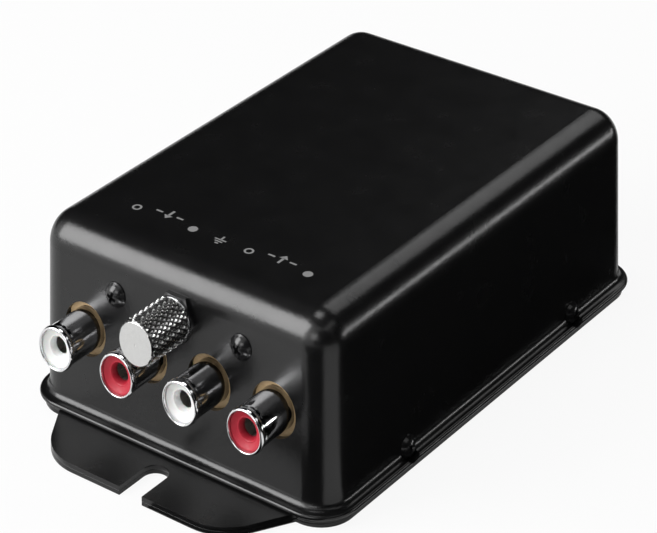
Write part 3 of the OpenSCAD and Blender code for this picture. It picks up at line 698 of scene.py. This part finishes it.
def screw_thread(start, end, radius, pitch=0.7, depth=0.38, turns=48):
    """A thread from out = start to out = end with flat crests and roots, closed by chamfered ends.

    Its profile is a list of shares of the pitch and of the depth.
    """
    profile = [(0.0, 0.0), (0.08, 0.0), (0.42, 1.0), (0.58, 1.0), (0.92, 0.0)]
    ramp = 0.6
    vertices, faces = [], []
    coils = int((end - start) / pitch) + 2
    rows = coils * len(profile)
    for i in range(turns + 1):
        a = 2 * math.pi * i / turns
        for coil in range(coils):
            for along, deep in profile:
                out = start - pitch + (coil + along + i / turns) * pitch
                free = min(max(out, start), end)
                ends = max(0.0, 1 - (free - start) / ramp, 1 - (end - free) / ramp)
                r = radius - depth * max(deep, ends)
                vertices.append((r * math.cos(a) * MM, -free * MM, r * math.sin(a) * MM))
    for i in range(turns):
        for k in range(rows - 1):
            faces.append((i * rows + k, i * rows + k + 1, (i + 1) * rows + k + 1, (i + 1) * rows + k))
    root = (radius - depth) * MM
    for out in (start, end):
        faces.append(tuple(range(len(vertices), len(vertices) + turns)))
        for i in range(turns):
            a = 2 * math.pi * i / turns
            vertices.append((root * math.cos(a), -out * MM, root * math.sin(a)))
    return vertices, faces


def ground_terminal():
    """The threaded post and the hexagonal flange that stands on the front wall."""
    low, high = corners_of("ground_post")
    wall = board_front() - SHEET
    flange_across = (high.x - low.x) / MM
    flange_thick = (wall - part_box("terminal_washer")[1][1]) / MM
    post_r = 2.0
    shape = joined(hexagon(flange_thick, flange_across),
                   screw_thread((wall - high.y) / MM, (wall - low.y) / MM, post_r))
    post = make_piece("ground_post_threaded", shape, middle_on(low, high, wall), "chrome", HOUSING,
                      sharp=25.0)
    # painted reflection: the hex flange takes the black steel finish, which stands for chrome mirroring the
    # black front wall
    post.data.materials.append(MATERIALS["screw_black"])
    for face in post.data.polygons:
        if math.hypot(face.center.x, face.center.z) > (post_r + 0.1) * MM:
            face.material_index = 1
    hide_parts("ground_post")


# ---- sockets


def barrel_profile(reach, bead, inner, outer):
    """Outline of a barrel's wall: straight, then a shallow neck, the bead and the rolled mouth.

    The neck is a list of distances behind the mouth and rises of the radius.
    """
    lip = 3.72
    nose = 0.75
    neck = [(2.2, 0.0), (1.8, -0.05), (1.5, -0.12), (1.25, -0.1), (1.05, 0.03)]
    profile = [(0.0, inner), (0.0, outer)]
    profile += [(reach - behind, outer + rise) for behind, rise in neck]
    profile += [(reach - 0.9, bead - 0.05), (reach - nose, bead)]
    for i in range(1, 11):
        a = math.radians(9 * i)
        profile.append((reach - nose + nose * math.sin(a), lip + (bead - lip) * math.cos(a)))
    profile += [(reach - 0.05, lip - 0.1), (reach - 0.16, inner + 0.02), (reach - 0.4, inner)]
    return profile


def socket_shell(name):
    """A drawn metal barrel: three solder prongs, a straight wall, a shallow neck and a rounded bead."""
    low, high = corners_of("shell_" + name)
    board = board_front()
    outer = 3.9
    inner = 3.55
    overlap = 0.1
    prong_start = 73
    prong_sweep = 34
    prong_back = (board - high.y) / MM
    prong = [(prong_back, inner), (prong_back, outer), (overlap, outer), (overlap, inner)]
    bead = (high.x - low.x) / 2 / MM
    shapes = [turned(barrel_profile((board - low.y) / MM, bead, inner, outer), closed=True)]
    for k in range(3):
        shapes.append(turned(prong, closed=True, start=120 * k + prong_start, sweep=prong_sweep))
    shell = make_piece("socket_shell_" + name, joined(*shapes), middle_on(low, high, board), "chrome",
                       HOUSING, sharp=40.0, material=BARREL_CHROME_SHADED_FOOT)
    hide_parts("shell_" + name)


def insert_profile(length, back, outer):
    """Outline of an insert: spring tube, round throat, dished mouth with soft edges, flat rim and tail."""
    dish = 3.3
    dish_depth = 0.6
    throat = 2.0
    throat_depth = 1.2
    hole = 1.6
    tube_r = 1.92
    boss_r = 2.3
    tail_r = 0.81
    foot = length - dish_depth - throat_depth
    mouth = length - dish_depth
    profile = [(0.0, tube_r), (foot, tube_r), (foot, hole), (foot + 0.5, hole + 0.03)]
    profile += [(mouth - 0.12, throat - 0.05), (mouth, throat + 0.02), (mouth + 0.08, throat + 0.12)]
    steps = 10
    for i in range(1, steps + 1):
        t = i / steps
        sag = 0.05 * math.sin(math.pi * t)
        profile.append((length - dish_depth * (1 - t) - sag, throat + 0.12 + (dish - throat - 0.12) * t))
    profile += [(length - 0.005, dish + 0.12), (length, dish + 0.2)]
    profile += [(length - 0.02, outer - 0.05), (length - 0.08, outer), (0.0, outer)]
    profile += [(0.0, boss_r), (back, boss_r), (back, tail_r), (0.0, tail_r)]
    return profile


def socket_insert(name):
    """A moulded insert in its socket's colour."""
    low, high = corners_of("insert_" + name)
    board = board_front()
    profile = insert_profile((board - low.y) / MM, (board - high.y) / MM, (high.x - low.x) / 2 / MM)
    slot = "insert_red" if name in RED_SOCKETS else "insert_white"
    piece = make_piece("socket_insert_" + name, turned(profile, closed=True), middle_on(low, high, board),
                       slot, HOUSING, sharp=50.0)
    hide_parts("insert_" + name)


# ---- screws


def screw_profile(head_r, head_h, shank):
    """Outline of a screw: domed head with a broken edge, plain shank and chamfered end."""
    dome = (head_r ** 2 + head_h ** 2) / (2 * head_h)
    steps = 14
    profile = []
    for i in range(steps + 1):
        a = math.asin(min(1.0, head_r * i / steps / dome))
        profile.append((head_h - dome + dome * math.cos(a), dome * math.sin(a)))
    profile[-1] = (0.16, head_r)
    profile += [(0.04, head_r - 0.02), (0.0, head_r - 0.1), (0.0, SCREW_R), (-shank + 0.4, SCREW_R),
                (-shank, SCREW_R - 0.45), (-shank, 0.0)]
    return profile


def recess_tool(head_r, head_h):
    """A cross that narrows downwards, which cuts a screw's recess."""
    levels = ((head_h + 0.4, 1.0), (head_h * 0.28, 0.45))
    corners = []
    for out, grow in levels:
        long = head_r * 0.50 * (0.4 + 0.6 * grow)
        wide = head_r * (0.08 + 0.06 * grow)
        for k in range(4):
            a = math.pi / 2 * k
            for u, v in ((wide, -wide), (long, -wide), (long, wide)):
                corners.append(((u * math.cos(a) - v * math.sin(a)) * MM, -out * MM,
                                (u * math.sin(a) + v * math.cos(a)) * MM))
    rim = len(corners) // 2
    faces = [tuple(range(rim)), tuple(range(2 * rim - 1, rim - 1, -1))]
    faces += [(i, (i + 1) % rim, rim + (i + 1) % rim, rim + i) for i in range(rim)]
    return object_from("screw_recess", corners, faces)


def screw_shape(head_r, head_h, shank):
    """Vertices and faces of a domed screw with a tapered cross recess, standing out along -Y."""
    blank = object_from("screw_blank", *turned(screw_profile(head_r, head_h, shank), turns=64))
    tool = recess_tool(head_r, head_h)
    cut = blank.modifiers.new("recess", "BOOLEAN")
    cut.object = tool
    cut.operation = "DIFFERENCE"
    cut.solver = "EXACT"
    soft = blank.modifiers.new("soft", "BEVEL")
    soft.width = 0.05 * MM
    soft.segments = 2
    soft.limit_method = "ANGLE"
    soft.angle_limit = math.radians(38)
    made = bpy.data.meshes.new_from_object(blank.evaluated_get(bpy.context.evaluated_depsgraph_get()))
    vertices = [tuple(v.co) for v in made.vertices]
    faces = [tuple(f.vertices) for f in made.polygons]
    for spare in (blank, tool):
        bpy.data.objects.remove(spare)
    return vertices, faces


def placed(shape, place, turn, spin):
    """A shape moved to `place`, turned about Z by `turn` and spun about its own axis, both in degrees."""
    move = (Matrix.Translation(place) @ Matrix.Rotation(math.radians(turn), 4, "Z")
            @ Matrix.Rotation(math.radians(spin), 4, "Y"))
    vertices, faces = shape
    return [tuple(move @ Vector(v)) for v in vertices], faces


def side_screws():
    """Four domed screws low in the side walls, each stopped at another angle."""
    low, high = corners_of("case_screws")
    head_r = (high.z - low.z) / 2 / MM
    head_h = 1.5
    shank = 5.0
    shape = screw_shape(head_r, head_h, shank)
    side_wall = high.x - head_h * MM
    spins = iter((15, 62, 38, 80))
    copies = []
    for side in (-1, 1):
        for y in (low.y + head_r * MM, high.y - head_r * MM):
            place = (side * side_wall, y, (low.z + high.z) / 2)
            copies.append(placed(shape, place, 90 * side, next(spins)))
    piece = make_piece("case_screws_domed", joined(*copies), (0, 0, 0), "screw_black", HOUSING, sharp=30.0)
    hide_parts("case_screws")


def front_screws():
    """The two domed screws that hold the socket boards to the front wall."""
    low, high = corners_of("board_screws_front")
    wall = board_front() - SHEET
    head_r = (high.z - low.z) / 2 / MM
    head_h = 1.5
    shape = screw_shape(head_r, head_h, (high.y - wall) / MM)
    spins = ((low.x + head_r * MM, 20), (high.x - head_r * MM, 34))
    copies = [placed(shape, (x, wall, (low.z + high.z) / 2), 0, spin) for x, spin in spins]
    piece = make_piece("front_screws_domed", joined(*copies), (0, 0, 0), "screw_black", HOUSING, sharp=30.0)
    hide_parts("board_screws_front")


# ---- marks printed on the top


def band(points, width, closed=False):
    """A flat stroke of a width along points in millimetres, as (vertices, faces)."""
    shape = []
    count = len(points)
    for i, here in enumerate(points):
        before = points[i - 1] if i or closed else here
        after = points[(i + 1) % count] if i < count - 1 or closed else here
        along = Vector(after) - Vector(before)
        side = Vector((-along.y, along.x)).normalized() * width / 2
        shape += [(here[0] + side.x, here[1] + side.y), (here[0] - side.x, here[1] - side.y)]
    faces = [(2 * i, 2 * i + 1, 2 * i + 3, 2 * i + 2) for i in range(count - 1)]
    if closed:
        faces.append((2 * count - 2, 2 * count - 1, 1, 0))
    return shape, faces


def ring_path(x, y, r):
    """Points all round a circle, in millimetres."""
    steps = 32
    angles = [2 * math.pi * i / steps for i in range(steps)]
    return [(x + r * math.cos(a), y + r * math.sin(a)) for a in angles]


def filled(points):
    """A flat shape inside its outline, as (vertices, faces)."""
    return points, [tuple(range(len(points)))]


def flow_mark(x, y, way):
    """An arrow that points out of the case (-1) or into it (1), between two short bars."""
    tip = y + way * 1.5
    stem = y - way * 1.5
    head = tip - way * 1.15
    shapes = [band([(x, stem), (x, tip - way * 1.0)], 0.55)]
    shapes.append(filled([(x - 1.0, head), (x + 1.0, head), (x, tip)]))
    for start, end in ((-3.3, -1.7), (1.7, 3.3)):
        shapes.append(band([(x + start, y), (x + end, y)], 0.45))
    return shapes


def earth_mark(x, y):
    """The common sign for earth: a short stem over three bars that get shorter."""
    shapes = [band([(x, y + 1.3), (x, y + 0.1)], 0.42)]
    for drop, half in ((0.0, 1.35), (0.65, 0.88), (1.3, 0.42)):
        shapes.append(band([(x - half, y - drop), (x + half, y - drop)], 0.36))
    return shapes


def top_marks():
    """Generic channel, flow and earth marks in pale ink; nothing is written."""
    ink_over = 0.008 * MM
    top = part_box("case")[1][2] + ink_over
    row_y = -39.4
    out_x = -13.4
    in_x = 13.9
    ground_x = 0.2
    channel = 6.9
    shapes = flow_mark(out_x, row_y + 1.5, -1) + flow_mark(in_x, row_y + 1.3, 1)
    for x in (out_x, in_x):
        shapes.append(band(ring_path(x - channel, row_y, 0.8), 0.42, closed=True))
        shapes.append(filled(ring_path(x + channel, row_y, 1.0)))
    shapes += earth_mark(ground_x, row_y)
    flat = [([(x * MM, y * MM, 0.0) for x, y in points], faces) for points, faces in shapes]
    make_piece("top_marks", joined(*flat), (0, 0, top), None, HOUSING, material=INK)


def soften_edges():
    """Small rolled or broken edges on the sheet and board pieces that stay as the CAD made them."""
    widths = {"base_plate": 0.18, "foot_plate": 0.18, "socket_board_out": 0.06, "socket_board_in": 0.06,
              "terminal_washer": 0.08, "post_nut": 0.08, "board_nuts_front": 0.06, "lock_washer": 0.05,
              "inlet_housing": 0.12, "voltage_regulator": 0.08, "input_chip": 0.06, "output_chip": 0.06,
              "ground_lug": 0.05}
    for node, width in widths.items():
        carried = frame["nodes"][node]
        weld = carried.modifiers.new("weld", "WELD")
        weld.merge_threshold = WELD
        bevel = carried.modifiers.new("edge", "BEVEL")
        bevel.width = width * MM
        bevel.segments = 2
        bevel.limit_method = "ANGLE"
        bevel.angle_limit = math.radians(50)
        bevel.harden_normals = True


def dress_cad_nodes():
    """Gives every carried CAD node the finish of its material slot."""
    for part in frame["record"]["subparts"]:
        node = frame["nodes"][part["node"]]
        node.data.materials.clear()
        node.data.materials.append(MATERIALS[part["material_slot"]])


make_camera()
make_studio()
dress_cad_nodes()
soften_edges()
knurled_nut()
ground_terminal()
for socket in SOCKETS:
    socket_shell(socket)
    socket_insert(socket)
side_screws()
front_screws()
top_marks()

bpy.context.scene.view_settings.view_transform = "Standard"
